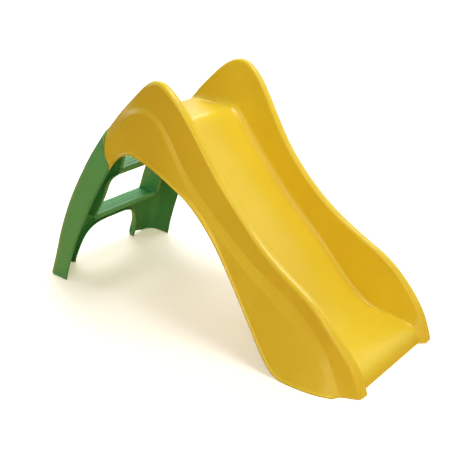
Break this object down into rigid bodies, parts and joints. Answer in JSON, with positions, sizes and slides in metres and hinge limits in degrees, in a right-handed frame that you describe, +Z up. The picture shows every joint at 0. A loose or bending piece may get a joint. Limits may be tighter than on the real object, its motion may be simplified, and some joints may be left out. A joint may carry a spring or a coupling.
{
  "type": "toddler slide",
  "caption": "Toddler slide: a moulded yellow chute with raised side walls and flared skirts, on a moulded green ladder with treads.",
  "frame": {"origin": "on the floor under the middle of the slide's overall length and width", "axes": "+Z up, +X from the ladder towards the exit, +Y to the left as the child slides; XZ is the plane of symmetry"},
  "size_m": [1.0705, 0.468, 0.6444],
  "materials": {
    "yellow_shell": "satin moulded polypropylene",
    "green_ladder": "satin moulded polypropylene",
    "screw_steel": "zinc plated"
  },
  "bodies": {
    "root": {"platform_deck": "yellow_shell", "chute_bed": "yellow_shell", "chute_runout": "yellow_shell", "exit_lip": "yellow_shell", "bed_cross_ribs": "yellow_shell", "deck_bosses": "yellow_shell", "left_inner_wall": "yellow_shell", "right_inner_wall": "yellow_shell", "left_rim": "yellow_shell", "right_rim": "yellow_shell", "left_upper_side": "yellow_shell", "right_upper_side": "yellow_shell", "left_ledge": "yellow_shell", "right_ledge": "yellow_shell", "left_skirt": "yellow_shell", "right_skirt": "yellow_shell", "lower_tread": "green_ladder", "upper_tread": "green_ladder", "ladder_header": "green_ladder", "left_rail_tongue": "green_ladder", "right_rail_tongue": "green_ladder", "left_rail_web": "green_ladder", "right_rail_web": "green_ladder", "left_rail_corner": "green_ladder", "right_rail_corner": "green_ladder", "left_rail_plate": "green_ladder", "right_rail_plate": "green_ladder", "left_inner_plate": "green_ladder", "right_inner_plate": "green_ladder", "joining_screws": "screw_steel"}
  },
  "joints": []
}
